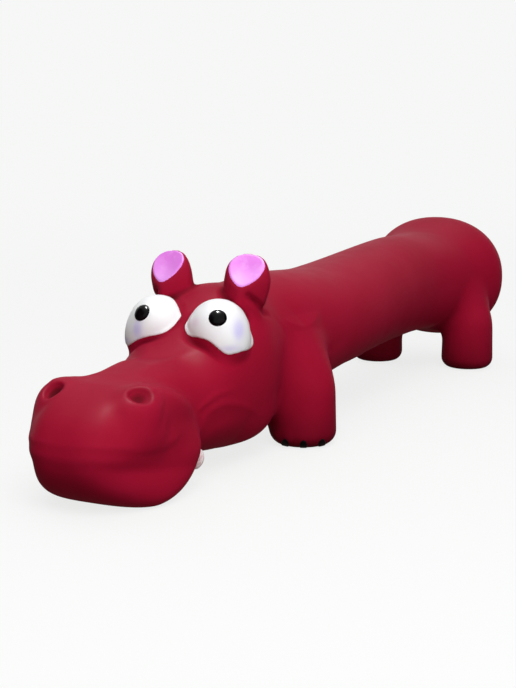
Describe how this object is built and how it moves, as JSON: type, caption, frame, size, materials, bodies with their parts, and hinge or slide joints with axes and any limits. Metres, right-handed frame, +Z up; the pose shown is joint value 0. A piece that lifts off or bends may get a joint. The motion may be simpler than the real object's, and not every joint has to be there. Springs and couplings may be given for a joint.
{
  "type": "latex squeaky dog toy",
  "caption": "Long-bodied hippopotamus dog toy in crimson latex: soft filled skin on short legs, painted eyes and ears, chin on the floor, squeaker pressed into the belly.",
  "frame": {"origin": "on the floor, in the middle of the toy's length and width", "axes": "+Z up, -Y towards the nose, +X towards the animal's left side"},
  "size_m": [0.0496, 0.24, 0.0497],
  "materials": {
    "crimson_latex": "satin moulded latex",
    "pink_paint": "matte paint on latex",
    "white_paint": "satin paint on latex",
    "black_paint": "glossy paint on latex",
    "tooth_paint": "satin paint on latex",
    "fibre_filling": "loose polyester fibre",
    "squeaker_plastic": "natural polyethylene",
    "squeaker_insert_plastic": "natural polyethylene",
    "reed_plastic": "smooth polyester strip"
  },
  "bodies": {
    "body": {"trunk_skin": "crimson_latex", "head_skin": "crimson_latex", "front_left_leg": "crimson_latex", "front_right_leg": "crimson_latex", "hind_left_leg": "crimson_latex", "hind_right_leg": "crimson_latex", "left_ear": "crimson_latex", "right_ear": "crimson_latex", "left_ear_lining": "pink_paint", "right_ear_lining": "pink_paint", "left_eye": "white_paint", "right_eye": "white_paint", "left_pupil": "black_paint", "right_pupil": "black_paint", "left_tooth": "tooth_paint", "right_tooth": "tooth_paint", "front_left_claw_1": "black_paint", "front_left_claw_2": "black_paint", "front_left_claw_3": "black_paint", "front_right_claw_1": "black_paint", "front_right_claw_2": "black_paint", "front_right_claw_3": "black_paint", "tail": "crimson_latex", "filling": "fibre_filling", "squeaker_barrel": "squeaker_plastic", "squeaker_reed_bed": "squeaker_insert_plastic", "squeaker_reed_clamp": "squeaker_insert_plastic", "squeaker_cap": "squeaker_plastic"},
    "reed": {"squeaker_reed": "reed_plastic"}
  },
  "joints": [
    {"name": "reed_flutter", "type": "hinge", "parent": "body", "child": "reed", "pos_m": [0, 0.0105, 0.02708], "axis": [-1, 0, 0], "range_deg": [-1.5, 6], "stiffness_Nm_per_rad": 0.0005}
  ]
}
